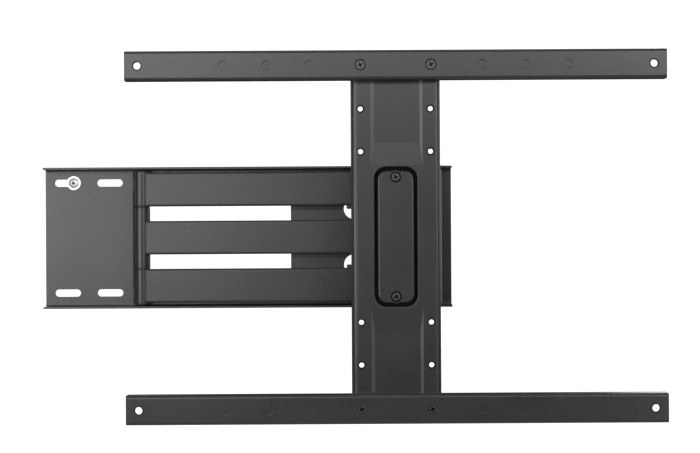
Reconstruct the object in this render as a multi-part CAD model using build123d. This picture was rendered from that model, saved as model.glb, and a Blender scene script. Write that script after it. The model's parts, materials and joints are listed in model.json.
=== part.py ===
from build123d import *
import os
from math import atan2, degrees, sqrt

# Full-motion television wall mount, millimetres.
# X runs to the right seen from the room, Y runs into the wall, Z runs up.
# The origin is the middle of the wall plate's back face, on the wall.
# A depth is a distance out from the wall, so a depth of d lies at Y = -d.

# Sheet and fits
sheet = 2.5
bend_inside = 2.0
run_clear = 0.06
bolt_clear = 0.3
side_clear = 0.1

# Wall plate
plate_length = 498.0
plate_height = 172.0
plate_depth = 22.0
plate_corner = 1.0
window_left = -141.5
window_right = 52.0
window_height = 120.0
window_corner = 13.0
slot_edge = 27.0
slot_pitch = 52.0
slot_margin = 18.5
slot_length = 31.4
slot_width = 8.8
cable_hole = 25.5
cable_hole_x = 130.0
cable_hole_rise = 34.5
ear_radius = 12.0

# Pivot positions
pivot_depth = 16.0
wall_pivot_x = 226.5
elbow_x = -129.5
head_x = 178.5
head_depth = 42.0
tilt_depth = 66.0

# Pivot tubes and pins
barrel_radius = 10.5
pin_radius = 4.5
pin_head_radius = 7.5
pin_head_height = 3.0
washer_height = 2.0
washer_outer = 9.5
knuckle_set_back = 1.45
knuckle_stand_out = 1.2
knuckle_edge = 0.6
cap_height = 1.2

# Arm bars
arm_clear = 4.55
bar_gap = 17.6
bar_wall = 2.0
bar_corner = 2.5
front_bar_depth = 18.0
rear_bar_depth = 16.5
front_arm_overhang = 27.0
end_cap_flange = 1.5
end_cap_plug = 8.0

# Strips under the front bars at the head
strip_start = 120.5
strip_height = 4.2
strip_depth = 12.0

# Head bracket on the front arm
bracket_sheet = 3.0
bracket_width = 54.0
lug_thickness = 4.0
lug_inside = 42.0
lug_radius = 12.0
head_pin_radius = 5.0
head_pin_head_radius = 9.0

# Swivel yoke
yoke_barrel_radius = 11.0
yoke_ear = 3.0
yoke_width = 56.0
yoke_web_depth = 50.0
yoke_web = 4.0
yoke_height = 60.0
yoke_ear_radius = 12.0

# Tilt bracket
tilt_sheet = 3.0
tilt_gap = 1.0
tilt_bracket_height = 160.0
tilt_ear_radius = 13.0
tilt_bolt_radius = 4.0
tilt_bolt_flats = 13.0
lock_radius = 24.0
lock_bolt_radius = 3.0
tilt_back = 5.0
tilt_forward = 10.0

# Upright plate behind the screen
tv_plane = 112.0
rail_depth = 18.0
upright_width = 105.0
upright_height = 430.0
upright_flange = 8.0
upright_bend = 2.5
screw_spread = 82.0
row_inner = 100.0
row_outer = 150.0
row_hole = 6.0
pan_width = 50.5
pan_height = 164.0
pan_corner = 14.0
pan_depth = 6.0
pan_draft = 8.0
pad_width = 57.0
pad_from = 84.0
pad_depth = 1.4
pad_slope = 5.0
pad_run_out = 12.0

# Cover in the pan
cover_side_gap = 3.6
cover_end_gap = 4.85
cover_corner = 10.5
cover_rise = 5.3
cover_sheet = 2.0
cover_round = 1.6
cover_screw_inset = 12.0
cover_screw_head = 5.2
cover_recess_radius = 6.2
cover_recess = 1.5
cover_screw_head_height = 2.4
cover_boss = 8.0

# Rails across the screen
rail_length = 630.0
rail_height = 34.5
rail_bend = 1.0
vesa_width = 600.0
vesa_height = 400.0
vesa_hole = 8.6
blank_hole = 10.5
blank_depth = 1.0
blank_first = 100.0
blank_pitch = 50.0
blank_count = 3
rail_screw_radius = 3.0
rail_screw_head = 5.35
rail_screw_head_height = 2.3
spacer_radius = 7.0
dimple_radius = 6.5
dimple_depth = 0.35

# Small fasteners
nut_flats = 10.0
nut_height = 5.0
washer_radius = 8.4
wall_washer_height = 1.2
wall_screw_head = 6.0
wall_screw_head_height = 2.6
wall_screw_radius = 3.0
wall_screw_length = 60.0
wall_screw_shift = 7.8

# Values that follow from the ones above
tray_inside = plate_height / 2 - sheet
arm_top = tray_inside - arm_clear
bar_height = (2 * arm_top - 2 * bar_gap) / 3
bar_step = bar_height + bar_gap
slot_rise = plate_height / 2 - slot_margin
elbow_knuckle_half = bar_step - bar_height / 2 - knuckle_set_back
knuckle_top = arm_top + knuckle_stand_out
cover_width = pan_width - 2 * cover_side_gap
cover_height = pan_height - 2 * cover_end_gap
cover_screw_rise = pan_height / 2 - cover_screw_inset
front_bar_front = pivot_depth + front_bar_depth / 2
front_arm_end = head_x + front_arm_overhang
bracket_front = front_bar_front + bracket_sheet
upright_front = tv_plane - rail_depth
upright_back = upright_front - sheet
pan_floor_front = upright_front - pan_depth
pan_floor_back = pan_floor_front - sheet
tilt_web_back = pan_floor_back - tilt_sheet
yoke_side = yoke_width / 2
tilt_ear_in = yoke_side + tilt_gap
tilt_ear_out = tilt_ear_in + tilt_sheet
pin_bore = pin_radius + run_clear
front_knuckle_low = elbow_knuckle_half + washer_height + 2 * side_clear


def facing(depth):
    """Upright plane at a depth, facing the room, with local x to the right and y up."""
    return Plane.XZ.offset(depth)


def lying(height):
    """Level plane at a height, with local x to the right and y into the wall."""
    return Plane.XY.offset(height)


def outward(sketch, depth, amount):
    """Solid of a sketch that starts at a depth and grows towards the room."""
    return extrude(facing(depth) * sketch, amount)


def upward(sketch, height, amount):
    """Solid of a level sketch that starts at a height and grows upwards."""
    return extrude(lying(height) * sketch, amount)


def upright_rod(x, depth, radius, low, high):
    """Round bar on a vertical axis."""
    return upward(Pos(x, -depth) * Circle(radius), low, high - low)


def upright_ring(x, depth, outer, inner, low, high):
    """Tube or washer on a vertical axis."""
    ring = Circle(outer) - Circle(inner)
    return upward(Pos(x, -depth) * ring, low, high - low)


def level_rod(depth, height, radius, left, right):
    """Round bar on an axis that runs left to right."""
    return extrude(Plane.YZ.offset(left) * Pos(-depth, height) * Circle(radius), right - left)


def front_rod(x, z, radius, start, finish):
    """Round bar on an axis that points out from the wall, between two depths."""
    return outward(Pos(x, z) * Circle(radius), start, finish - start)


def hexagon(flats):
    """Regular hexagon by its width across the flats."""
    return RegularPolygon(flats / sqrt(3), 6)


def channel_profile(width, depth, thickness, inside):
    """Folded channel section: base along local x at y = 0, legs rising to y = depth."""
    outside = inside + thickness
    outer = Pos(0, depth / 2) * Rectangle(width, depth)
    outer = fillet(outer.vertices().filter_by(lambda v: v.Y < 0.01), outside)
    rise = depth - thickness
    inner = Pos(0, thickness + rise / 2) * Rectangle(width - 2 * thickness, rise)
    inner = fillet(inner.vertices().filter_by(lambda v: v.Y < thickness + 0.01), inside)
    return outer - inner


# Wall plate: one folded tray with ears for the wall pivot
def make_wall_plate():
    reach = pivot_depth + ear_radius
    section = channel_profile(plate_height, reach, sheet, bend_inside)
    along = Plane(origin=(-plate_length / 2, 0, 0), x_dir=(0, 0, 1), z_dir=(1, 0, 0))
    tray = extrude(along * section, plate_length)
    outline = Pos(0, -plate_depth / 2) * Rectangle(plate_length, plate_depth)
    outline = fillet(outline.vertices().filter_by(lambda v: v.Y < -1), plate_corner)
    outline += Pos(wall_pivot_x, -pivot_depth) * Circle(ear_radius)
    tray = tray & upward(outline, -plate_height, 2 * plate_height)
    width = window_right - window_left
    window = Pos((window_left + window_right) / 2, 0) * RectangleRounded(width, window_height, window_corner)
    tray -= outward(window, -1, sheet + 2)
    slot = SlotOverall(slot_length, slot_width)
    for side in (-1, 1):
        for step in (0, 1):
            x = side * (plate_length / 2 - slot_edge - step * slot_pitch)
            for rise in (-slot_rise, slot_rise):
                tray -= outward(Pos(x, rise) * slot, -1, sheet + 2)
    for rise in (-cable_hole_rise, cable_hole_rise):
        tray -= outward(Pos(cable_hole_x, rise) * Circle(cable_hole / 2), -1, sheet + 2)
    bore = pin_radius + side_clear
    tray -= upright_rod(wall_pivot_x, pivot_depth, bore, -plate_height, plate_height)
    return tray


# Wall pivot: one long pin through both flanges
def make_wall_pin():
    top = plate_height / 2
    pin = upright_rod(wall_pivot_x, pivot_depth, pin_radius, -top - 5.0, top)
    head = upright_rod(wall_pivot_x, pivot_depth, pin_head_radius, top, top + pin_head_height)
    head = fillet(head.edges().group_by(Axis.Z)[-1], 1.8)
    return pin + head


def make_wall_pin_ring():
    top = plate_height / 2
    return upright_ring(wall_pivot_x, pivot_depth, 7.0, pin_radius, -top - 2.0, -top)


def make_wall_pivot_washers():
    low = tray_inside - washer_height
    inner = pin_radius + side_clear
    upper = upright_ring(wall_pivot_x, pivot_depth, washer_outer, inner, low, tray_inside)
    return Compound([upper, mirror(upper, Plane.XY)])


# Screw and washer in the upper left slot
def make_wall_washer():
    x = -plate_length / 2 + slot_edge + wall_screw_shift
    outer = Pos(x, slot_rise) * (Circle(washer_radius) - Circle(wall_screw_radius + bolt_clear))
    return outward(outer, sheet, wall_washer_height)


def make_wall_screw():
    x = -plate_length / 2 + slot_edge + wall_screw_shift
    seat = sheet + wall_washer_height
    place = Location((x, -seat, slot_rise), (90, 0, 0))
    half = Polyline(
        (0, -wall_screw_length),
        (wall_screw_radius, -wall_screw_length + 8),
        (wall_screw_radius, 0),
        (wall_screw_head, 0),
        (wall_screw_head, wall_screw_head_height * 0.45),
    )
    dome = ThreePointArc(
        (wall_screw_head, wall_screw_head_height * 0.45),
        (wall_screw_head * 0.62, wall_screw_head_height * 0.86),
        (0, wall_screw_head_height),
    )
    closing = Line((0, wall_screw_head_height), (0, -wall_screw_length))
    face = make_face(half.edges() + dome.edges() + closing.edges())
    body = revolve(Plane.XZ * face, Axis.Z)
    cross = Rectangle(6.0, 1.3) + Rectangle(1.3, 6.0)
    body -= extrude(Plane.XY.offset(wall_screw_head_height - 1.4) * cross, 3)
    return place * body


# Arm bars: rounded rectangular tube
def arm_bar(left, right, middle, depth):
    outer = RectangleRounded(depth, bar_height, bar_corner)
    hollow = RectangleRounded(depth - 2 * bar_wall, bar_height - 2 * bar_wall, bar_corner - bar_wall)
    section = Pos(-pivot_depth, middle) * (outer - hollow)
    return extrude(Plane.YZ.offset(left) * section, right - left)


def soften_ends(barrel):
    """Break the outer edges at both ends of a barrel."""
    rims = barrel.edges().filter_by(GeomType.CIRCLE)
    rims = rims.filter_by(lambda e: abs(e.radius - barrel_radius) < 0.01)
    return chamfer(rims, knuckle_edge)


def make_rear_bar():
    bar = arm_bar(elbow_x, wall_pivot_x, 0, rear_bar_depth)
    for x in (elbow_x, wall_pivot_x):
        bar -= upright_rod(x, pivot_depth, barrel_radius, -bar_height, bar_height)
    return bar


def make_rear_wall_barrel():
    half = tray_inside - washer_height - side_clear
    return upright_ring(wall_pivot_x, pivot_depth, barrel_radius, pin_bore, -half, half)


def make_rear_elbow_barrel():
    half = elbow_knuckle_half
    barrel = upright_ring(elbow_x, pivot_depth, barrel_radius, pin_bore, -half, half)
    return soften_ends(barrel)


def make_rear_gussets():
    foot = bar_height / 2
    left = wall_pivot_x - barrel_radius
    profile = make_face(
        Polyline((left, foot), (left, foot + 12), (left - 26, foot), (left, foot), close=False).edges()
    )
    plate = outward(profile, pivot_depth - 2, 4)
    plate -= upright_rod(wall_pivot_x, pivot_depth, barrel_radius, -bar_height, bar_height)
    return Compound([plate, mirror(plate, Plane.XY)])


def make_front_bar(side):
    bar = arm_bar(elbow_x, front_arm_end, side * bar_step, front_bar_depth)
    low = side * bar_step - bar_height
    bar -= upright_rod(elbow_x, pivot_depth, barrel_radius, low, low + 2 * bar_height)
    return bar


def make_front_knuckle(side):
    ring = upright_ring(
        elbow_x, pivot_depth, barrel_radius, pin_radius + 0.02, front_knuckle_low, knuckle_top
    )
    ring = soften_ends(ring)
    return ring if side > 0 else mirror(ring, Plane.XY)


def make_elbow_washers():
    low = elbow_knuckle_half + side_clear
    ring = upright_ring(
        elbow_x, pivot_depth, barrel_radius - 0.3, pin_radius + side_clear, low, low + washer_height
    )
    return Compound([ring, mirror(ring, Plane.XY)])


def make_elbow_pin():
    return upright_rod(elbow_x, pivot_depth, pin_radius, -knuckle_top, knuckle_top)


def make_elbow_caps():
    cap = upright_rod(elbow_x, pivot_depth, barrel_radius - 1.2, knuckle_top, knuckle_top + cap_height)
    cap = fillet(cap.edges().group_by(Axis.Z)[-1], cap_height * 0.7)
    return Compound([cap, mirror(cap, Plane.XY)])


def make_front_end_caps():
    flange = RectangleRounded(front_bar_depth, bar_height, bar_corner)
    plug = RectangleRounded(
        front_bar_depth - 2 * bar_wall - 0.2, bar_height - 2 * bar_wall - 0.2, bar_corner - bar_wall
    )
    caps = []
    for side in (-1, 1):
        place = Pos(-pivot_depth, side * bar_step)
        cap = extrude(Plane.YZ.offset(front_arm_end) * place * flange, end_cap_flange)
        cap = chamfer(cap.edges().group_by(Axis.X)[-1], 0.6)
        cap += extrude(Plane.YZ.offset(front_arm_end - end_cap_plug) * place * plug, end_cap_plug)
        caps.append(cap)
    return Compound(caps)


def make_front_strips():
    width = front_arm_end - strip_start
    flat = Pos(strip_start + width / 2, -pivot_depth) * RectangleRounded(width, strip_depth, 2.0)
    low = bar_step - bar_height / 2 - strip_height
    strip = upward(flat, low, strip_height)
    edge = strip.edges().group_by(Axis.Z)[0]
    strip = fillet(edge, 1.5)
    return Compound([strip, mirror(strip, Plane.XY)])


# Head bracket: a plate over both front bars with two lugs for the swivel pin
def make_head_bracket():
    web = Pos(head_x, 0) * RectangleRounded(bracket_width, 2 * arm_top - 4, 6.0)
    bracket = outward(web, front_bar_front, bracket_sheet)
    reach = head_depth - bracket_front + 0.5
    lug = Pos(head_x, -head_depth) * Circle(lug_radius)
    lug += Pos(head_x, -head_depth + reach / 2) * Rectangle(2 * lug_radius, reach)
    for low in (lug_inside, -lug_inside - lug_thickness):
        bracket += upward(lug, low, lug_thickness)
    bore = head_pin_radius + side_clear
    bracket -= upright_rod(head_x, head_depth, bore, -lug_inside - 9, lug_inside + 9)
    return bracket


def make_head_pin():
    top = lug_inside + lug_thickness
    pin = upright_rod(head_x, head_depth, head_pin_radius, -top - 10, top)
    head = upward(Pos(head_x, -head_depth) * hexagon(2 * head_pin_head_radius - 2), top, 5.5)
    return pin + head


def make_head_nut():
    top = lug_inside + lug_thickness
    ring = hexagon(2 * head_pin_head_radius - 2) - Circle(head_pin_radius)
    return upward(Pos(head_x, -head_depth) * ring, -top - 8, 8)


def make_head_washers():
    high = lug_inside - side_clear
    inner = head_pin_radius + side_clear
    ring = upright_ring(head_x, head_depth, yoke_barrel_radius, inner, high - washer_height, high)
    return Compound([ring, mirror(ring, Plane.XY)])


# Swivel yoke: barrel, cross web and two ears, cast in one
def yoke_ear_profile():
    back = yoke_web_depth
    shape = Pos(-tilt_depth, 0) * Circle(yoke_ear_radius)
    points = [
        (-back, -yoke_height / 2),
        (-back - 6, -yoke_height / 2),
        (-tilt_depth - 4, -yoke_ear_radius + 0.6),
        (-tilt_depth - 4, yoke_ear_radius - 0.6),
        (-back - 6, yoke_height / 2),
        (-back, yoke_height / 2),
    ]
    shape += make_face(Polyline(*points, close=True).edges())
    foot = Pos(-tilt_depth, -lock_radius) * Circle(lock_bolt_radius + 4)
    return shape + foot


def make_swivel_yoke():
    half = lug_inside - washer_height - 2 * side_clear
    yoke = upright_rod(head_x, head_depth, yoke_barrel_radius, -half, half)
    web = Pos(head_x, -yoke_web_depth - yoke_web / 2) * Rectangle(yoke_width, yoke_web)
    yoke += upward(web, -yoke_height / 2, yoke_height)
    for left in (head_x - yoke_side, head_x + yoke_side - yoke_ear):
        yoke += extrude(Plane.YZ.offset(left) * yoke_ear_profile(), yoke_ear)
    yoke -= upright_rod(head_x, head_depth, head_pin_radius + run_clear, -half - 1, half + 1)
    reach = yoke_side + 1
    yoke -= level_rod(tilt_depth, 0, tilt_bolt_radius + 0.02, head_x - reach, head_x + reach)
    yoke -= level_rod(
        tilt_depth, -lock_radius, lock_bolt_radius + 0.02, head_x - reach, head_x + reach
    )
    return yoke


# Bolt across the ears, head on the left and nut on the right
def cross_bolt(radius, height, flats, head_height, tail):
    left = head_x - tilt_ear_out
    right = head_x + tilt_ear_out
    bolt = level_rod(tilt_depth, height, radius, left, right + tail)
    place = Pos(-tilt_depth, height)
    head = extrude(Plane.YZ.offset(left - side_clear - head_height) * place * hexagon(flats), head_height)
    neck = level_rod(tilt_depth, height, radius, left - side_clear - 0.5, left + 0.5)
    return bolt + head + neck


def cross_nut(radius, height, flats, nut_depth):
    right = head_x + tilt_ear_out + side_clear
    place = Pos(-tilt_depth, height)
    return extrude(Plane.YZ.offset(right) * place * (hexagon(flats) - Circle(radius)), nut_depth)


def make_tilt_bolt():
    return cross_bolt(tilt_bolt_radius, 0, tilt_bolt_flats, 5.3, 9)


def make_tilt_nut():
    return cross_nut(tilt_bolt_radius, 0, tilt_bolt_flats, 7)


def make_lock_bolt():
    return cross_bolt(lock_bolt_radius, -lock_radius, nut_flats, 4, 7)


def make_lock_nut():
    return cross_nut(lock_bolt_radius, -lock_radius, nut_flats, nut_height)


def make_tilt_washers():
    gap = tilt_gap - 2 * side_clear
    rings = []
    for left in (head_x - yoke_side - side_clear - gap, head_x + yoke_side + side_clear):
        ring = Circle(9) - Circle(tilt_bolt_radius + side_clear)
        rings.append(extrude(Plane.YZ.offset(left) * Pos(-tilt_depth, 0) * ring, gap))
    return Compound(rings)


# Tilt bracket: folded channel whose ears carry the bolt hole and the arc slot
def make_tilt_bracket():
    width = 2 * tilt_ear_out
    web = Pos(head_x, 0) * RectangleRounded(width, tilt_bracket_height, 8.0)
    bracket = outward(web, tilt_web_back, tilt_sheet)
    low = lock_radius + tilt_ear_radius - 4
    profile = Pos(-tilt_depth, 0) * Circle(tilt_ear_radius)
    profile += Pos(-tilt_depth, -lock_radius) * Circle(tilt_ear_radius - 2)
    front = -pan_floor_back + tilt_sheet / 2
    profile += make_face(
        Polyline(
            (-tilt_depth, tilt_ear_radius),
            (front, tilt_ear_radius + 10),
            (front, -low - 8),
            (-tilt_depth, -lock_radius - tilt_ear_radius + 2),
            close=True,
        ).edges()
    )
    slot = SlotArc(
        CenterArc((-tilt_depth, 0), lock_radius, -90 - tilt_forward - 1, tilt_back + tilt_forward + 2),
        2 * (lock_bolt_radius + bolt_clear),
    )
    profile -= slot
    profile -= Pos(-tilt_depth, 0) * Circle(tilt_bolt_radius + run_clear)
    for left in (head_x - tilt_ear_out, head_x + tilt_ear_in):
        bracket += extrude(Plane.YZ.offset(left) * profile, tilt_sheet)
    for rise in (-cover_screw_rise, cover_screw_rise):
        bracket -= front_rod(
            head_x, rise, rail_screw_radius + bolt_clear, tilt_web_back - 1, pan_floor_back + 1
        )
    return bracket


# Upright plate: folded, with a drawn pan in the middle and pressed pads above and below
def pressed_pad(length, side):
    """Rim and floor of a shallow pad with sloped sides and a long run-out at its inner end."""
    rim = RectangleRounded(pad_width, length, 9.0)
    floor_length = length - pad_slope - pad_run_out
    floor = RectangleRounded(pad_width - 2 * pad_slope, floor_length, 4.0)
    return rim, Pos(0, -side * (pad_run_out - pad_slope) / 2) * floor


def upright_hole(across, height, radius):
    """Cutter for a round hole through the upright plate."""
    return front_rod(head_x + across, height, radius, upright_back - 6, upright_front + 1)


def make_upright():
    section = channel_profile(upright_width, upright_flange, sheet, upright_bend)
    low = Plane(
        origin=(head_x, -upright_front, -upright_height / 2), x_dir=(1, 0, 0), z_dir=(0, 0, 1)
    )
    plate = extrude(low * section, upright_height)
    pan = RectangleRounded(pan_width, pan_height, pan_corner)
    shell = RectangleRounded(pan_width + 2 * sheet, pan_height + 2 * sheet, pan_corner + sheet)
    back = Plane(origin=(head_x, -upright_front, 0), x_dir=(1, 0, 0), z_dir=(0, 1, 0))
    plate += extrude(back * shell, pan_depth + sheet, taper=pan_draft)
    plate -= extrude(back * pan, pan_depth, taper=pan_draft)
    rim = plate.edges().filter_by_position(Axis.Y, -upright_front - 0.01, -upright_front + 0.01)
    rim = rim.filter_by(lambda e: abs(e.center().X - head_x) < pan_width * 0.6)
    rim = rim.filter_by(lambda e: abs(e.center().Z) < pan_height * 0.6)
    plate = fillet(rim, 1.2)
    far = upright_height / 2 + pad_slope + 2
    length = far - pad_from
    for side in (-1, 1):
        middle = side * (pad_from + length / 2)
        flip = Pos(0, -middle)
        front, floor = pressed_pad(length, side)
        hollow = loft([back * flip * front, back.offset(pad_depth) * flip * floor])
        swell = loft(
            [
                back.offset(sheet) * flip * front,
                back.offset(sheet + pad_depth) * flip * floor,
            ]
        )
        swell = swell & Pos(head_x, -upright_front, 0) * Box(upright_width, 30, upright_height)
        plate += swell
        plate -= hollow
    for side in (-1, 1):
        for across in (-screw_spread / 2, screw_spread / 2):
            for rise in (row_inner, row_outer):
                plate -= upright_hole(across, side * rise, row_hole / 2)
            plate -= upright_hole(across, side * vesa_height / 2, rail_screw_radius + bolt_clear)
        plate -= front_rod(
            head_x,
            side * cover_screw_rise,
            rail_screw_radius + bolt_clear,
            pan_floor_back - 1,
            pan_floor_front + 1,
        )
    return plate


# Cover: a shallow lid with rounded edges and two screw bosses
def make_cover():
    outer = Pos(head_x, 0) * RectangleRounded(cover_width, cover_height, cover_corner)
    lid = outward(outer, pan_floor_front, cover_rise)
    top = lid.faces().sort_by(Axis.Y)[0]
    lid = fillet(top.edges(), cover_round)
    hollow = Pos(head_x, 0) * RectangleRounded(
        cover_width - 2 * cover_sheet, cover_height - 2 * cover_sheet, cover_corner - cover_sheet
    )
    lid -= outward(hollow, pan_floor_front, cover_rise - cover_sheet)
    for rise in (-cover_screw_rise, cover_screw_rise):
        lid += front_rod(head_x, rise, cover_boss, pan_floor_front, pan_floor_front + cover_rise - 0.5)
        top = pan_floor_front + cover_rise
        lid -= front_rod(head_x, rise, rail_screw_radius + bolt_clear, pan_floor_front - 1, top + 1)
        lid -= front_rod(head_x, rise, cover_recess_radius, top - cover_recess, top + 1)
    return lid


# Pan-head screw along Y: head in front, cross recess
def make_cover_screws():
    seat = pan_floor_front + cover_rise - cover_recess
    screws = []
    for rise in (-cover_screw_rise, cover_screw_rise):
        head = front_rod(head_x, rise, cover_screw_head, seat, seat + cover_screw_head_height)
        head = fillet(head.edges().group_by(Axis.Y)[0], 1.2)
        screw = head + front_rod(head_x, rise, rail_screw_radius, tilt_web_back - nut_height - 1, seat)
        cross = Rectangle(5.4, 1.3) + Rectangle(1.3, 5.4)
        screw -= outward(Pos(head_x, rise) * Rot(0, 0, 20) * cross, seat + 0.9, 4)
        screws.append(screw)
    return Compound(screws)


def front_nut(x, z, face):
    """Hexagon nut whose front face lies at a depth."""
    ring = hexagon(nut_flats) - Circle(rail_screw_radius)
    return outward(Pos(x, z) * ring, face - nut_height, nut_height)


def make_cover_nuts():
    return Compound([front_nut(head_x, side * cover_screw_rise, tilt_web_back) for side in (-1, 1)])


# Rail: folded channel with end holes, half-pressed blanks and countersunk screw seats
def make_rail(side):
    section = channel_profile(rail_height, rail_depth, sheet, rail_bend)
    middle = side * vesa_height / 2
    start = Plane(
        origin=(head_x - rail_length / 2, -tv_plane, middle), x_dir=(0, 0, -1), z_dir=(1, 0, 0)
    )
    rail = extrude(start * section, rail_length)
    web_back = tv_plane - sheet
    for hand in (-1, 1):
        end = head_x + hand * vesa_width / 2
        rail -= front_rod(end, middle, vesa_hole / 2, web_back - 1, tv_plane + 1)
        for step in range(blank_count):
            x = head_x + hand * (blank_first + step * blank_pitch)
            rail += front_rod(x, middle, blank_hole / 2, web_back - blank_depth, web_back)
            rail -= front_rod(x, middle, blank_hole / 2, tv_plane - blank_depth, tv_plane + 1)
        x = head_x + hand * screw_spread / 2
        rail -= front_rod(x, middle, dimple_radius, tv_plane - dimple_depth, tv_plane + 1)
        seat = outward(Pos(x, middle) * Circle(rail_screw_head + 0.05), tv_plane, -dimple_depth)
        cone = extrude(
            facing(tv_plane - dimple_depth) * Pos(x, middle) * Circle(rail_screw_head + 0.08),
            -rail_screw_head_height,
            taper=degrees(atan2(rail_screw_head - rail_screw_radius, rail_screw_head_height)),
        )
        rail -= seat + cone
        rail -= front_rod(x, middle, rail_screw_radius + 0.12, web_back - 2, tv_plane)
    return rail


def rail_places():
    """Where the rail screws stand, as x and z."""
    spots = []
    for side in (-1, 1):
        for hand in (-1, 1):
            spots.append((head_x + hand * screw_spread / 2, side * vesa_height / 2))
    return spots


def make_rail_screws():
    screws = []
    top = tv_plane - dimple_depth
    for x, z in rail_places():
        head = extrude(
            facing(top) * Pos(x, z) * Circle(rail_screw_head),
            -rail_screw_head_height,
            taper=degrees(atan2(rail_screw_head - rail_screw_radius, rail_screw_head_height)),
        )
        shank = front_rod(x, z, rail_screw_radius, upright_back - pad_depth - nut_height - 1, top - 1)
        cross = Rectangle(6.0, 1.3) + Rectangle(1.3, 6.0)
        screw = head + shank - outward(Pos(x, z) * Rot(0, 0, 25) * cross, top - 1.5, 4)
        screws.append(screw)
    return Compound(screws)


def make_rail_spacers():
    ring = Circle(spacer_radius) - Circle(rail_screw_radius + bolt_clear)
    length = rail_depth - sheet
    return Compound([outward(Pos(x, z) * ring, upright_front, length) for x, z in rail_places()])


def make_rail_nuts():
    return Compound([front_nut(x, z, upright_back) for x, z in rail_places()])


pieces = {
    "wall_plate": make_wall_plate,
    "wall_pivot_pin": make_wall_pin,
    "wall_pivot_ring": make_wall_pin_ring,
    "wall_pivot_washers": make_wall_pivot_washers,
    "wall_washer": make_wall_washer,
    "wall_screw": make_wall_screw,
    "rear_bar": make_rear_bar,
    "rear_wall_barrel": make_rear_wall_barrel,
    "rear_elbow_barrel": make_rear_elbow_barrel,
    "rear_gussets": make_rear_gussets,
    "front_bar_top": lambda: make_front_bar(1),
    "front_bar_bottom": lambda: make_front_bar(-1),
    "front_knuckle_top": lambda: make_front_knuckle(1),
    "front_knuckle_bottom": lambda: make_front_knuckle(-1),
    "elbow_washers": make_elbow_washers,
    "elbow_pin": make_elbow_pin,
    "elbow_caps": make_elbow_caps,
    "front_end_caps": make_front_end_caps,
    "front_strips": make_front_strips,
    "head_bracket": make_head_bracket,
    "head_pin": make_head_pin,
    "head_nut": make_head_nut,
    "head_washers": make_head_washers,
    "swivel_yoke": make_swivel_yoke,
    "tilt_bolt": make_tilt_bolt,
    "tilt_nut": make_tilt_nut,
    "tilt_washers": make_tilt_washers,
    "lock_bolt": make_lock_bolt,
    "lock_nut": make_lock_nut,
    "tilt_bracket": make_tilt_bracket,
    "upright_plate": make_upright,
    "pivot_cover": make_cover,
    "cover_screws": make_cover_screws,
    "cover_nuts": make_cover_nuts,
    "top_rail": lambda: make_rail(1),
    "bottom_rail": lambda: make_rail(-1),
    "rail_screws": make_rail_screws,
    "rail_spacers": make_rail_spacers,
    "rail_nuts": make_rail_nuts,
}

os.makedirs("parts", exist_ok=True)
for name, make in pieces.items():
    export_step(make(), f"parts/{name}.step")
    print(name)
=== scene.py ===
import bpy
import json
import math
import numpy as np
from mathutils import Matrix, Vector


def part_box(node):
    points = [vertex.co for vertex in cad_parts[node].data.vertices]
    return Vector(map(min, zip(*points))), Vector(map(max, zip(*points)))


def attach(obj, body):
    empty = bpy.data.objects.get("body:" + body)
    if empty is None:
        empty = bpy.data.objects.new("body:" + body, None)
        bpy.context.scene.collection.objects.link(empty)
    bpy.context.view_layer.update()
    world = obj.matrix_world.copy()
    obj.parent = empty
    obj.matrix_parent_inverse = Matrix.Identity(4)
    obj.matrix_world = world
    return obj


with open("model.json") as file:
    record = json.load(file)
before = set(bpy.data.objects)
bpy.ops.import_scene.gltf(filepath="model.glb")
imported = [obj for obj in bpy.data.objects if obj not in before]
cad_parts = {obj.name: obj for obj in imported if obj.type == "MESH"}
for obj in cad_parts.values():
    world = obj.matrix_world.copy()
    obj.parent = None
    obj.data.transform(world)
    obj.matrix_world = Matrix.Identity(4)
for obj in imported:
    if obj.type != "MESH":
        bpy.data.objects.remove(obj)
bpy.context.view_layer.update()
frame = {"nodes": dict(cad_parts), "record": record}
print("frame loaded")

# Places in the wall plate's own frame, in metres.
place = {
    "elbowX": -0.1295,
    "wallPivotX": 0.2265,
    "headX": 0.1785,
    "screenDepth": 0.112,      # front of the rails, out from the wall
    "railRise": 0.2,           # rails lie this far above and below the middle
}


# A socket that takes part in sums, so that shader maths reads as plain Python.
class Sock:
    def __init__(self, tree, socket):
        self.tree = tree
        self.socket = socket

    def math(self, operation, *others):
        return addNode(self.tree, "ShaderNodeMath", {"operation": operation}, [self, *others])

    def flipped(self, operation, other):
        return addNode(self.tree, "ShaderNodeMath", {"operation": operation}, [other, self])

    def __add__(self, other):
        return self.math("ADD", other)

    def __sub__(self, other):
        return self.math("SUBTRACT", other)

    def __mul__(self, other):
        return self.math("MULTIPLY", other)

    def __truediv__(self, other):
        return self.math("DIVIDE", other)

    def __pow__(self, other):
        return self.math("POWER", other)

    def __neg__(self):
        return self.math("MULTIPLY", -1.0)

    def __radd__(self, other):
        return self.flipped("ADD", other)

    def __rsub__(self, other):
        return self.flipped("SUBTRACT", other)

    def __rmul__(self, other):
        return self.flipped("MULTIPLY", other)

    def __rtruediv__(self, other):
        return self.flipped("DIVIDE", other)

    def size(self):
        return self.math("ABSOLUTE")

    def least(self, other):
        return self.math("MINIMUM", other)

    def most(self, other):
        return self.math("MAXIMUM", other)

    def clamp(self, low=0.0, high=1.0):
        return self.most(low).least(high)

    def step(self, low, high):          # 0 up to low, 1 from high, a straight ramp between
        return ((self - low) / (high - low)).clamp()


# Adds a node: its type, then its settings, then its inputs.
def addNode(tree, kind, settings=None, inputs=None, output=0):
    made = tree.nodes.new(kind)
    for key, value in (settings or {}).items():
        setattr(made, key, value)
    pairs = inputs.items() if isinstance(inputs, dict) else enumerate(inputs or [])
    for key, value in pairs:
        if isinstance(value, Sock):
            tree.links.new(value.socket, made.inputs[key])
        else:
            made.inputs[key].default_value = value
    return Sock(tree, made.outputs[output])


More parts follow.
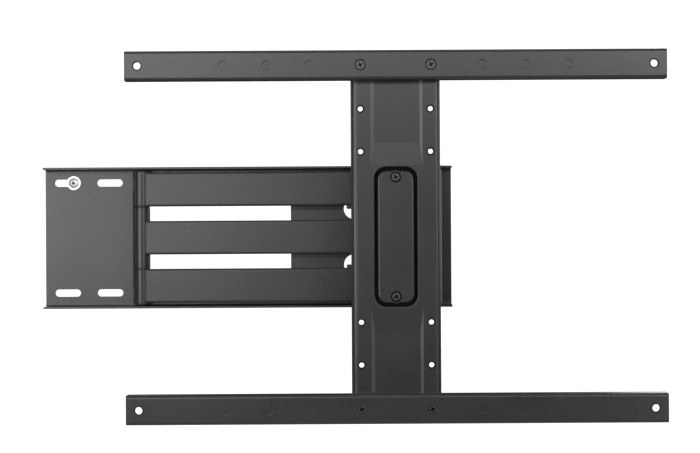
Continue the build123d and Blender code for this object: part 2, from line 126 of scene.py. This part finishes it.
# One material under construction, with its shader and its object coordinates.
class Material:
    def __init__(self, name):
        self.data = bpy.data.materials.new(name)
        self.data.use_nodes = True
        self.tree = self.data.node_tree
        self.shader = self.tree.nodes["Principled BSDF"]
        self.coords = addNode(self.tree, "ShaderNodeTexCoord", output=3)

    def add(self, kind, settings=None, inputs=None, output=0):
        return addNode(self.tree, kind, settings, inputs, output)

    def axis(self, index):
        return self.add("ShaderNodeSeparateXYZ", {}, [self.coords], output=index)

    def stretched(self, scale):
        return self.add("ShaderNodeMapping", {}, {"Vector": self.coords, "Scale": scale})

    def noise(self, scale, detail=2.0, rough=0.5, vector=None):
        values = {"Vector": vector or self.coords, "Scale": scale, "Detail": detail, "Roughness": rough}
        return self.add("ShaderNodeTexNoise", {}, values)

    def blend(self, factor, first, second):
        a, b = [(*c, 1) if isinstance(c, tuple) else c for c in (first, second)]
        return self.add("ShaderNodeMix", {"data_type": "RGBA"}, {0: factor, 6: a, 7: b}, output=2)

    def bump(self, height):             # height in metres
        values = {"Height": height, "Strength": 1.0, "Distance": 1.0}
        self.wire("Normal", self.add("ShaderNodeBump", {}, values))

    def wire(self, name, value):
        if isinstance(value, Sock):
            self.tree.links.new(value.socket, self.shader.inputs[name])
        else:
            self.shader.inputs[name].default_value = value


# Holes, pressed rings and screws of the upright, the cover and the rails: how far each is from the
# middle of the head, and its radius.
rims = {
    # the ...Ring widths, coverRecess, ringSoft and railShade size the painted shade round holes and heads
    "railEnd": 0.3, "railHole": 0.0043, "endRing": 0.001,
    "blankAt": 0.15, "blankPitch": 0.05, "blankRadius": 0.00525, "blankShare": 0.2,
    "screwAt": 0.041, "screwHead": 0.0053, "screwRing": 0.0001,
    "dimpleRadius": 0.0065, "dimpleShare": 0.5,
    "rowMiddle": 0.125, "rowHalf": 0.025, "rowHole": 0.003, "rowRing": 0.0014,
    "coverScrewAt": 0.07, "coverRecess": 0.0062,
    "holeRoll": 0.0009, "rollDepth": 0.0008,        # rolled hole edge
    "grooveWidth": 0.0005, "grooveDepth": 0.0004,   # pressed ring
    "ringSoft": 0.0004, "railShade": 0.9,
}


# How far a surface sinks in a round groove, from 0 to 1: most on the circle, and evenly less to
# either side of it.
def grooveAt(distance, radius):
    return (1 - (distance - radius).size() / rims["grooveWidth"]).clamp()


# How far a surface sinks at a rolled hole edge, from 0 to 1: most at the hole, none past the roll.
def rollAt(distance, radius):
    return 1 - distance.step(radius, radius + rims["holeRoll"])


# Distance from the axis of the nearest rail screw or rail-end hole, by its distance from the head.
def fromRailAxis(m, at):
    across = (m.axis(0) - place["headX"]).size() - at
    return (across ** 2 + (m.axis(2).size() - place["railRise"]) ** 2) ** 0.5


# Distance from the axis of the nearest of the three blanks on each side: folded at the middle one.
def fromBlank(m):
    fold = ((m.axis(0) - place["headX"]).size() - rims["blankAt"]).size()
    across = fold.least((fold - rims["blankPitch"]).size())
    return (across ** 2 + (m.axis(2).size() - place["railRise"]) ** 2) ** 0.5


# Distance from the axis of the nearest of the upright's eight spare holes.
def fromRowHole(m):
    across = (m.axis(0) - place["headX"]).size() - rims["screwAt"]
    rise = (m.axis(2).size() - rims["rowMiddle"]).size() - rims["rowHalf"]
    return (across ** 2 + rise ** 2) ** 0.5


# Narrow gap between the pan's opening and the cover, and the painted shade laid in such gaps.
gap = {
    "panHalf": 0.02525, "panRise": 0.082, "panCorner": 0.014,
    "coverHalf": 0.02165, "coverRise": 0.07715, "coverCorner": 0.0104,
    "soft": 0.0003,
    # painted shade: the cover's side is painted dark below sideFrom, fading out by sideTo
    "sideFrom": 0.0905, "sideTo": 0.0917,           # the cover's own side darkens below these depths
    # colour and roughness of the painted shade, which is also made metallic so that it stays near black
    "shade": (0.020, 0.020, 0.020), "roughness": 0.85,
}


# Distance outside a rectangle with round corners, below 0 inside: the point folded into one quarter,
# measured from the corner's centre.
def outsideOf(across, rise, half, high, corner):
    u = across.size() - (half - corner)
    w = rise.size() - (high - corner)
    outer = (u.clamp(0.0, 9.0) ** 2 + w.clamp(0.0, 9.0) ** 2) ** 0.5
    return outer + u.most(w).least(0.0) - corner


# Painted shade of a round rim, from 0 to 1: full up to a width past the hole, then a soft edge.
def ringShade(distance, radius, width):
    return 1 - distance.step(radius + width, radius + width + rims["ringSoft"])


# Upright: painted shade inside the pan's opening, where the gap round the cover lies in shadow, and in a
# ring round each spare hole.
def uprightShade(m):
    across, rise = m.axis(0) - place["headX"], m.axis(2)
    edge = outsideOf(across, rise, gap["panHalf"], gap["panRise"], gap["panCorner"])
    inGap = 1 - edge.step(-gap["soft"], gap["soft"])
    return inGap.most(ringShade(fromRowHole(m), rims["rowHole"], rims["rowRing"]))


# Cover: painted shade on its side below the rounded edge, and in the recess round each screw.
def coverShade(m):
    across, rise = m.axis(0) - place["headX"], m.axis(2)
    edge = outsideOf(across, rise, gap["coverHalf"], gap["coverRise"], gap["coverCorner"])
    side = edge.step(-gap["soft"], 0.0) * (1 - (-m.axis(1)).step(gap["sideFrom"], gap["sideTo"]))
    screw = (across ** 2 + (rise.size() - rims["coverScrewAt"]) ** 2) ** 0.5
    return side.most(ringShade(screw, rims["coverRecess"], 0.0))


# Rails: painted shade in a ring round each end hole and round each screw head.
def railShade(m):
    hollow = ringShade(fromRailAxis(m, rims["railEnd"]), rims["railHole"], rims["endRing"])
    screw = ringShade(fromRailAxis(m, rims["screwAt"]), rims["screwHead"], rims["screwRing"])
    return hollow.most(screw) * rims["railShade"]


# Rails: rolled rims on the end holes, fine pressed rings at the blanks and at the screws' dimples.
def railSink(m):
    blank = grooveAt(fromBlank(m), rims["blankRadius"]) * rims["blankShare"]
    dimple = grooveAt(fromRailAxis(m, rims["screwAt"]), rims["dimpleRadius"]) * rims["dimpleShare"]
    rolled = rollAt(fromRailAxis(m, rims["railEnd"]), rims["railHole"]) * rims["rollDepth"]
    return rolled + (blank + dimple) * rims["grooveDepth"]


# The upright's two pads, as the solid has them and as they were drawn, and its edges.
pads = {
    "pressed": {"half": 0.0285, "slope": 0.005, "start": 0.084, "run": 0.012, "corner": 0.009,
                "depth": 0.0014},
    "drawn": {"half": 0.0305, "slope": 0.0038, "start": 0.084, "run": 0.026, "shift": 0.0012,
              "depth": 0.00074, "tilt": 0.003},
    "frontFrom": 0.0922, "frontTo": 0.0924,         # only what lies further out than this is front
}
crown = {"half": 0.0505, "width": 0.0055, "fall": 0.0004}      # the plate's edges fall away a little


# Depth of the two pads as the solid has them. Their walls run straight from the rim to the floor, so
# the share of the depth reached is the distance in from the side or from the inner end, over that
# wall's width. At the corner the arc shrinks as its centre moves: the positive root of a quadratic.
def pressedDepth(m):
    shape = pads["pressed"]
    across = (m.axis(0) - place["headX"]).size()
    rise = m.axis(2).size()
    side = (shape["half"] - across) / shape["slope"]
    middle = shape["half"] - shape["corner"]
    travel = shape["run"] - shape["slope"]
    x = (across - middle).clamp(0.0, 1.0)
    z = rise - (shape["start"] + shape["corner"])
    a = travel ** 2 - shape["slope"] ** 2
    half = shape["corner"] * shape["slope"] - z * travel
    c = x * x + z * z - shape["corner"] ** 2
    corner = ((half * half - c * a).clamp(0.0, 1.0) ** 0.5 - half) / a
    inCorner = (z - side * travel).math("LESS_THAN", 0.0)
    return (side + (corner - side) * inCorner).clamp() * shape["depth"]


# Depth of the same pads as they were drawn: sides that slope evenly, down to a floor that leans a
# little and runs out to nothing at the inner end. The shallower of the two counts.
def drawnDepth(m):
    shape = pads["drawn"]
    across = m.axis(0) - (place["headX"] + shape["shift"])
    side = (shape["half"] - across.size()).clamp() * (shape["depth"] / shape["slope"])
    along = ((m.axis(2).size() - shape["start"]) / shape["run"]).clamp()
    return side.least(along * (shape["depth"] - across * shape["tilt"]))


# Upright plate: rolled rims on the two rows of open holes, pads that are drawn softer and wider than
# their flat-sided solid, and edges that fall away a little. The last two are on the front face only.
def uprightSink(m):
    front = (-m.axis(1)).step(pads["frontFrom"], pads["frontTo"])
    across = (m.axis(0) - place["headX"]).size()
    edge = across.step(crown["half"] - crown["width"], crown["half"]) * crown["fall"]
    softer = drawnDepth(m) - pressedDepth(m)
    return rollAt(fromRowHole(m), rims["rowHole"]) * rims["rollDepth"] + (softer + edge) * front


lip = {"width": 0.0022, "fall": 0.0005, "from": 0.066, "to": 0.073}     # the cover's long edges


# Cover: its long edges fall away, less towards the round ends.
def coverSink(m):
    across = (m.axis(0) - place["headX"]).size()
    long = 1 - m.axis(2).size().step(lip["from"], lip["to"])
    return across.step(gap["coverHalf"] - lip["width"], gap["coverHalf"]) * long * lip["fall"]


# Satin black powder coat.
powder = {
    "dark": 0.026, "light": 0.036,      # grey of the paint at its darkest and lightest
    "warm": 1.02,                       # red against green and blue
    "roughness": 0.29, "roughnessSpread": 0.10, "dustSpread": 0.06,
    "specular": 0.5,
    "peelScale": 1500.0,                # orange peel in cells of about 0.7 mm
    "peelDepth": 0.000004,
    "cloudScale": 18.0,                 # slow changes across a panel
    "cloudShare": 0.7, "cloudDepth": 0.2,
    "dustScale": 260.0, "dustShare": 0.3,
}
# painted shade masks of the groups that have them, and their bump sinks
shades = {"upright": uprightShade, "cover": coverShade, "rails": railShade}
sinks = {"rails": railSink, "upright": uprightSink, "cover": coverSink}


# Grey that wanders with clouds and dust, orange peel as bump, and the painted shade masks and the sinks
# of the group.
def makePowderCoat(name):
    m = Material(name + "PowderCoat")
    peel = m.noise(powder["peelScale"], 2.0, 0.55)
    cloud = m.noise(powder["cloudScale"], 3.0, 0.6)
    dust = m.noise(powder["dustScale"], 4.0, 0.65)
    tints = [(powder[end] * powder["warm"], powder[end], powder[end]) for end in ("dark", "light")]
    colour = m.blend(cloud * powder["cloudShare"] + dust * powder["dustShare"], *tints)
    spread = (cloud - 0.5) * powder["roughnessSpread"] + (dust - 0.5) * powder["dustSpread"]
    rough = spread + powder["roughness"]
    if name in shades:
        # painted shade: where the group's mask is 1, the coat turns near black, rough and metallic
        shade = shades[name](m)
        colour = m.blend(shade, colour, gap["shade"])
        rough = rough + shade * (gap["roughness"] - powder["roughness"])
        m.wire("Metallic", shade)
    m.wire("Base Color", colour)
    m.wire("Roughness", rough)
    m.wire("Specular IOR Level", powder["specular"])
    sink = sinks[name](m) if name in sinks else 0.0
    m.bump((peel + cloud * powder["cloudDepth"]) * powder["peelDepth"] - sink)
    return m.data


blackPlastic = {
    "dark": (0.014, 0.014, 0.015), "pale": (0.024, 0.024, 0.025), "cloudScale": 60.0,
    "roughness": 0.5, "roughnessSpread": 0.12, "grainScale": 2200.0, "grainDepth": 0.00001,
}


def makePlastic():
    m = Material("mouldedPlastic")
    grain = m.noise(blackPlastic["grainScale"], 2.0, 0.6)
    cloud = m.noise(blackPlastic["cloudScale"], 2.0, 0.5)
    m.wire("Base Color", m.blend(cloud, blackPlastic["dark"], blackPlastic["pale"]))
    m.wire("Roughness", (grain - 0.5) * blackPlastic["roughnessSpread"] + blackPlastic["roughness"])
    m.bump(grain * blackPlastic["grainDepth"])
    return m.data


# Cross recess of a screw head, and the rim where the head meets its hole, both painted in shade.
recess = {
    "half": 0.0008, "reach": 0.0031, "soft": 0.0002,
    "rimFrom": 0.0045, "rimTo": 0.0049, "shade": (0.002, 0.002, 0.002),
}


# Cross recess, from 0 outside to 1 inside: two bars through a centre, turned by an angle; the mask of the
# painted shade in a head's cross.
def crossAt(across, rise, turn, scale=1.0):
    c, s = math.cos(math.radians(turn)), math.sin(math.radians(turn))
    u = (across * c + rise * s).size()
    w = (rise * c - across * s).size()
    inside = 1 - u.least(w).step(recess["half"], recess["half"] + recess["soft"])
    reach = 1 - u.most(w).step(recess["reach"] * scale, recess["reach"] * scale + recess["soft"])
    return inside * reach


# Distance along one axis to the nearer of two places that lie equally far from a middle.
def nearer(position, middle, apart):
    return (position - middle) - position.math("GREATER_THAN", middle) * 2 * apart + apart


blackZinc = {
    "dark": (0.085, 0.085, 0.087), "worn": (0.17, 0.17, 0.175), "wornFrom": 0.56, "wornMost": 0.7,
    "metal": 0.85, "roughness": 0.28, "roughnessSpread": 0.16, "cloudScale": 120.0,
    "scratchScale": 900.0, "scratchStretch": (1.0, 6.0, 1.0), "scratchDepth": 0.000006,
}


# Black zinc with worn scratches. Where a turn is given, every head also has painted shade in its cross
# and round its rim.
def makeBlackZinc(name="blackZincFastener", turn=None, acrossAt=0.0, riseAt=0.0):
    m = Material(name)
    scratch = m.noise(blackZinc["scratchScale"], 3.0, 0.7, m.stretched(blackZinc["scratchStretch"]))
    cloud = m.noise(blackZinc["cloudScale"], 3.0, 0.6)
    worn = ((scratch - blackZinc["wornFrom"]) * 5.0).clamp(0.0, blackZinc["wornMost"])
    colour = m.blend(worn, blackZinc["dark"], blackZinc["worn"])
    if turn is not None:
        across = nearer(m.axis(0), place["headX"], acrossAt)
        rise = nearer(m.axis(2), 0.0, riseAt)
        rim = ((across ** 2 + rise ** 2) ** 0.5).step(recess["rimFrom"], recess["rimTo"])
        colour = m.blend(crossAt(across, rise, turn).most(rim), colour, recess["shade"])
    m.wire("Base Color", colour)
    m.wire("Metallic", blackZinc["metal"])
    m.wire("Roughness", cloud * blackZinc["roughnessSpread"] + blackZinc["roughness"])
    m.bump(scratch * blackZinc["scratchDepth"])
    return m.data


brightZinc = {
    # shade, ringHalf and ringShade: colour, half width and strength of the painted shade in the cross and
    # round the head
    "bright": (0.93, 0.93, 0.92), "dull": (0.78, 0.785, 0.78), "shade": (0.03, 0.03, 0.03),
    "metal": 0.75, "roughness": 0.36, "roughnessSpread": 0.14,
    "spangleScale": 420.0, "fineScale": 1800.0, "fineDepth": 0.000005,
    "headRadius": 0.006, "ringHalf": 0.0004, "ringShade": 0.8, "crossScale": 0.75,
}


# Bright zinc of the wall screw and washer, with painted shade in the screw's cross and in a ring where
# its head meets the washer.
def makeBrightZinc():
    m = Material("brightZinc")
    spangle = m.noise(brightZinc["spangleScale"], 3.0, 0.6)
    fine = m.noise(brightZinc["fineScale"], 2.0, 0.5)
    colour = m.blend(spangle, brightZinc["dull"], brightZinc["bright"])
    low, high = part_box("wall_screw")
    across, rise = m.axis(0) - (low[0] + high[0]) / 2, m.axis(2) - (low[2] + high[2]) / 2
    fromHead = ((across ** 2 + rise ** 2) ** 0.5 - brightZinc["headRadius"]).size()
    ring = (1 - fromHead / brightZinc["ringHalf"]).clamp()
    dark = (crossAt(across, rise, 0.0, brightZinc["crossScale"]) + ring * brightZinc["ringShade"]).clamp()
    m.wire("Base Color", m.blend(dark, colour, brightZinc["shade"]))
    m.wire("Metallic", brightZinc["metal"])
    m.wire("Roughness", fine * brightZinc["roughnessSpread"] + brightZinc["roughness"])
    m.bump(fine * brightZinc["fineDepth"])
    return m.data


# Which powder coat each painted node wears.
coatOf = {
    "wall_plate": "tray",
    "rear_bar": "arms", "rear_gussets": "arms",
    "front_bar_top": "arms", "front_bar_bottom": "arms", "front_strips": "arms",
    "rear_wall_barrel": "barrels", "rear_elbow_barrel": "barrels",
    "front_knuckle_top": "barrels", "front_knuckle_bottom": "barrels",
    "head_bracket": "head", "swivel_yoke": "head", "tilt_bracket": "head",
    "upright_plate": "upright",
    "pivot_cover": "cover",
    "top_rail": "rails", "bottom_rail": "rails",
}
painted = {name: makePowderCoat(name) for name in dict.fromkeys(coatOf.values())}
crossHeads = {
    "rail_screws": makeBlackZinc("railScrewZinc", 25.0, rims["screwAt"], place["railRise"]),
    "cover_screws": makeBlackZinc("coverScrewZinc", 20.0, 0.0, rims["coverScrewAt"]),
}
finishes = {
    "black_plastic": makePlastic(),
    "dark_fastener": makeBlackZinc(),
    "zinc_screw": makeBrightZinc(),
}
slotOf = {part["node"]: part["material_slot"] for part in frame["record"]["subparts"]}
for name, obj in frame["nodes"].items():
    finish = painted[coatOf[name]] if slotOf[name] == "black_paint" else finishes[slotOf[name]]
    finish = crossHeads.get(name, finish)
    if not obj.material_slots:
        obj.data.materials.append(finish)
    for slot in obj.material_slots:
        slot.material = finish
print("finishes on", len(frame["nodes"]), "nodes")


# Turns an array of points, rows by columns by 3, into quads between neighbours, wrapped where asked.
def gridMesh(name, points, material, closeU=False, closeV=False):
    rows, columns = points.shape[:2]
    u = np.arange(rows if closeU else rows - 1)
    v = np.arange(columns if closeV else columns - 1)
    a, b = np.meshgrid(u, v, indexing="ij")
    a2, b2 = (a + 1) % rows, (b + 1) % columns
    corners = [a * columns + b, a2 * columns + b, a2 * columns + b2, a * columns + b2]
    quads = np.stack(corners, -1).reshape(-1, 4)
    mesh = bpy.data.meshes.new(name)
    mesh.from_pydata(points.reshape(-1, 3), [], quads)
    mesh.polygons.foreach_set("use_smooth", np.ones(len(quads), bool))
    mesh.update()
    mesh.materials.append(material)
    obj = bpy.data.objects.new(name, mesh)
    bpy.context.scene.collection.objects.link(obj)
    return obj


bead = {
    "radius": 0.0011, "pitch": 0.0021, "ripple": 0.16, "lean": 0.0006,
    "endLength": 0.002, "sink": 0.0002, "rowStep": 0.0003, "columns": 11,
}


# Weld bead up a seam: half a circle swept along Z. Its radius swells and shrinks in overlapping
# scales, one each pitch, and falls to nothing over the last two millimetres at each end.
def weldBead(name, x, depth, low, high, body):
    z = np.linspace(low, high, int((high - low) / bead["rowStep"]))[:, None]
    angle = np.linspace(0, np.pi, bead["columns"])[None, :]
    scale = 1 - bead["ripple"] * (((z + bead["lean"] * np.sin(angle)) / bead["pitch"]) % 1)
    fade = np.sqrt(np.clip(np.minimum(z - low, high - z) / bead["endLength"], 0, 1))
    r = bead["radius"] * scale * fade
    across = x + r * np.cos(angle)
    out = -depth - (r * np.sin(angle) - bead["sink"])
    piece = gridMesh(name, np.stack([across, out, z + 0 * angle], -1), painted["arms"])
    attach(piece, body)


# Seams where a bar's front face meets its round barrel.
seam = {"front": 0.0255, "rear": 0.0247, "offset": 0.0054, "half": 0.0178, "barStep": 0.0585}
for name, body, x, depth, middle in (
    ("elbowWeldTop", "front_arm", place["elbowX"] + seam["offset"], seam["front"], seam["barStep"]),
    ("elbowWeldBottom", "front_arm", place["elbowX"] + seam["offset"], seam["front"], -seam["barStep"]),
    ("elbowWeldMiddle", "rear_arm", place["elbowX"] + seam["offset"], seam["rear"], 0.0),
    ("wallPivotWeld", "rear_arm", place["wallPivotX"] - seam["offset"], seam["rear"], 0.0),
):
    weldBead(name, x, depth, middle - seam["half"], middle + seam["half"], body)
print("weld beads made")


threads = {
    "wallScrew": {"core": 0.003, "height": 0.0011, "pitch": 0.0026, "width": 0.16, "point": 0.008},
    "tiltTail": {"core": 0.004, "height": 0.0004, "pitch": 0.00125, "width": 0.45, "point": 0.0},
    "lockTail": {"core": 0.003, "height": 0.0003, "pitch": 0.001, "width": 0.45, "point": 0.0},
    "headTail": {"core": 0.005, "height": 0.0004, "pitch": 0.0015, "width": 0.45, "point": 0.0},
}
sleeve = {
    "rows": 14, "columns": 40,                      # rows to a pitch, columns round the shank
    "under": 0.00008, "fade": 0.3, "tipHeight": 0.35,
    "woodFrom": 0.006, "intoNut": 0.0003, "shortOfEnd": 0.0001,
}


# Thread ridges on a plain shank: a sleeve whose radius rises in one sharp ridge that winds round the
# axis once each pitch. Core and crest both shrink towards the point, and the sleeve closes at both ends.
def threadSleeve(name, start, direction, length, thread, body, slotName):
    e = np.array(direction, float)
    u = np.array((0.0, 0.0, 1.0)) if abs(e[2]) < 0.5 else np.array((1.0, 0.0, 0.0))
    w = np.cross(e, u)
    s = np.linspace(0, length, int(length / thread["pitch"] * sleeve["rows"]) + 2)[:, None]
    angle = np.linspace(0, 2 * np.pi, sleeve["columns"] + 1)[None, :-1]
    tip = np.clip((length - s) / max(thread["point"], 1e-6), 0, 1)
    phase = (s / thread["pitch"] - angle / (2 * np.pi)) % 1
    ridge = np.clip(1 - np.abs(phase - 0.5) / thread["width"], 0, 1)
    ends = np.clip(np.minimum(s, length - s) / (sleeve["fade"] * thread["pitch"]), 0, 1)
    crest = thread["height"] * (sleeve["tipHeight"] + (1 - sleeve["tipHeight"]) * tip)
    r = thread["core"] * tip - sleeve["under"] + ridge * ends * crest
    r[0, :] = 0.0
    r[-1, :] = 0.0
    ring = np.cos(angle)[..., None] * u + np.sin(angle)[..., None] * w
    points = np.array(start) + s[..., None] * e + r[..., None] * ring
    piece = gridMesh(name, points[:, ::-1], finishes[slotName], closeV=True)
    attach(piece, body)


# Middle of a box, from its two corners.
def middleOf(low, high):
    return [(low[k] + high[k]) / 2 for k in range(3)]


low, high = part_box("wall_screw")
start = middleOf(low, high)
start[1] = sleeve["woodFrom"]
length = high[1] - start[1]
threadSleeve("wallScrewThread", start, (0, 1, 0), length, threads["wallScrew"], "wall_side", "zinc_screw")
for name, node, nut, thread, along, body in (
    ("tiltBoltThread", "tilt_bolt", "tilt_nut", "tiltTail", (1, 0, 0), "swivel_head"),
    ("lockBoltThread", "lock_bolt", "lock_nut", "lockTail", (1, 0, 0), "swivel_head"),
    ("headPinThread", "head_pin", "head_nut", "headTail", (0, 0, -1), "front_arm"),
):
    low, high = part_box(node)
    nutLow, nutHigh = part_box(nut)
    k = 0 if along[0] else 2
    nutFace, end = (nutHigh[k], high[k]) if along[k] > 0 else (nutLow[k], low[k])
    start = middleOf(nutLow, nutHigh)
    start[k] = nutFace - along[k] * sleeve["intoNut"]
    length = abs(end - start[k]) - sleeve["shortOfEnd"]
    threadSleeve(name, start, along, length, threads[thread], body, "dark_fastener")
print("threads made")


# Camera, square to the wall and a little rolled, which fits the photograph best.
camera = {
    "x": 0.1247, "z": 0.0124,
    "distance": 1.835,                  # from the screen plane
    "focal": 81.4, "sensor": 36.0,
    "roll": 0.32,                       # degrees
    "near": 0.05,
}
bpy.context.scene.view_settings.view_transform = "Standard"
lens = bpy.data.cameras.new("camera")
lens.lens = camera["focal"]
lens.sensor_width = camera["sensor"]
lens.clip_start = camera["near"]
eye = bpy.data.objects.new("camera", lens)
bpy.context.scene.collection.objects.link(eye)
upright = Matrix.Rotation(math.radians(90), 4, "X")
rolled = Matrix.Rotation(math.radians(-camera["roll"]), 4, "Z")
spot = (camera["x"], -place["screenDepth"] - camera["distance"], camera["z"])
eye.matrix_world = Matrix.Translation(spot) @ (upright @ rolled)
bpy.context.scene.camera = eye
print("camera placed")


# Soft boxes, each aimed at the mount: where it is, its width and height, and its power.
studio = {
    "aim": (0.12, -0.06, 0.0),
    "worldGrey": 0.005,
    "boxes": {
        # behind the camera, from left to right
        "keyHigh": ((-0.63, -2.6, 0.75), (0.97, 0.45), 13.3),
        "keySide": ((-1.20, -2.6, 0.00), (1.06, 0.45), 13.7),
        "keyInner": ((-0.37, -2.6, 0.00), (0.45, 0.45), 3.0),
        "fillHigh": ((0.37, -2.6, 0.72), (0.94, 0.45), 5.8),
        "fillFar": ((1.13, -2.6, 0.77), (0.45, 0.45), 8.9),
        "fillWide": ((1.85, -2.6, 0.35), (0.45, 0.45), 11.0),
        "fillLow": ((1.25, -2.6, -0.38), (0.45, 0.45), 2.0),
        # above, behind the wall and at the sides, for the other views
        "overhead": ((0.12, -0.5, 2.20), (1.6, 0.9), 9.0),
        "backLeft": ((-1.00, 2.6, 0.95), (0.6, 0.5), 20.0),
        "backRight": ((1.30, 2.6, 0.95), (0.6, 0.5), 20.0),
        "backSide": ((2.40, 1.6, 0.20), (0.7, 0.9), 5.0),
        "sideRight": ((2.80, -0.1, 0.45), (1.0, 0.9), 9.0),
        "sideLeft": ((-2.50, -0.1, 0.45), (1.0, 0.9), 3.0),
        "backFar": ((-2.20, 1.6, 0.20), (0.7, 0.9), 4.0),
    },
}


def softBox(name, at, size, power):
    light = bpy.data.lights.new(name, "AREA")
    light.shape = "RECTANGLE"
    light.size, light.size_y = size
    light.energy = power
    lamp = bpy.data.objects.new(name, light)
    bpy.context.scene.collection.objects.link(lamp)
    aim = (Vector(studio["aim"]) - Vector(at)).to_track_quat("-Z", "Y").to_matrix().to_4x4()
    lamp.matrix_world = Matrix.Translation(at) @ aim


for name, values in studio["boxes"].items():
    softBox(name, *values)
world = bpy.data.worlds.new("studio")
bpy.context.scene.world = world
world.use_nodes = True
world.node_tree.nodes["Background"].inputs[0].default_value = (1, 1, 1, 1)
world.node_tree.nodes["Background"].inputs[1].default_value = studio["worldGrey"]
print("soft boxes placed:", len(studio["boxes"]))


backdrop = {
    "radius": 5.0, "glow": 1.05, "white": (1.0, 1.0, 1.0), "around": 64, "bands": 32,
    "floorLevel": -0.62, "floorRadius": 1.3, "floor": (0.72, 0.72, 0.72),
    "floorAround": 96, "floorRings": 24,
    "mottle": 0.985, "roughness": 0.9,
}


def stageMaterial(name, colour, glow):
    m = Material(name)
    soft = m.noise(3.0, 2.0, 0.5)
    m.wire("Base Color", m.blend(soft, tuple(c * backdrop["mottle"] for c in colour), colour))
    m.wire("Roughness", backdrop["roughness"])
    m.wire("Emission Color", (*colour, 1))
    m.wire("Emission Strength", glow)
    return m.data


# White sweep that only the camera sees: a sphere, longitude round Z and latitude from pole to pole.
def makeSweep():
    lon = np.linspace(0, 2 * np.pi, backdrop["around"] + 1)[:-1][:, None]
    lat = np.linspace(-np.pi / 2, np.pi / 2, backdrop["bands"] + 1)[None, :]
    r = backdrop["radius"]
    parts = [r * np.cos(lon) * np.cos(lat), r * np.sin(lon) * np.cos(lat), r * np.sin(lat) + 0 * lon]
    white = stageMaterial("sweepWhite", backdrop["white"], backdrop["glow"])
    sweep = gridMesh("whiteSweep", np.stack(parts, -1), white, closeU=True)
    for ray in ("visible_diffuse", "visible_glossy", "visible_transmission", "visible_shadow"):
        setattr(sweep, ray, False)


# Pale floor well below the mount: a level disc, radius outwards from its middle.
def makeFloor():
    r = np.linspace(0.0001, backdrop["floorRadius"], backdrop["floorRings"])[None, :]
    around = np.linspace(0, 2 * np.pi, backdrop["floorAround"] + 1)[:-1][:, None]
    parts = [r * np.cos(around), r * np.sin(around), backdrop["floorLevel"] + 0 * r * around]
    pale = stageMaterial("floorPale", backdrop["floor"], 0.0)
    floor = gridMesh("paleFloor", np.stack(parts, -1), pale, closeU=True)


makeSweep()
makeFloor()
print("stage ready")
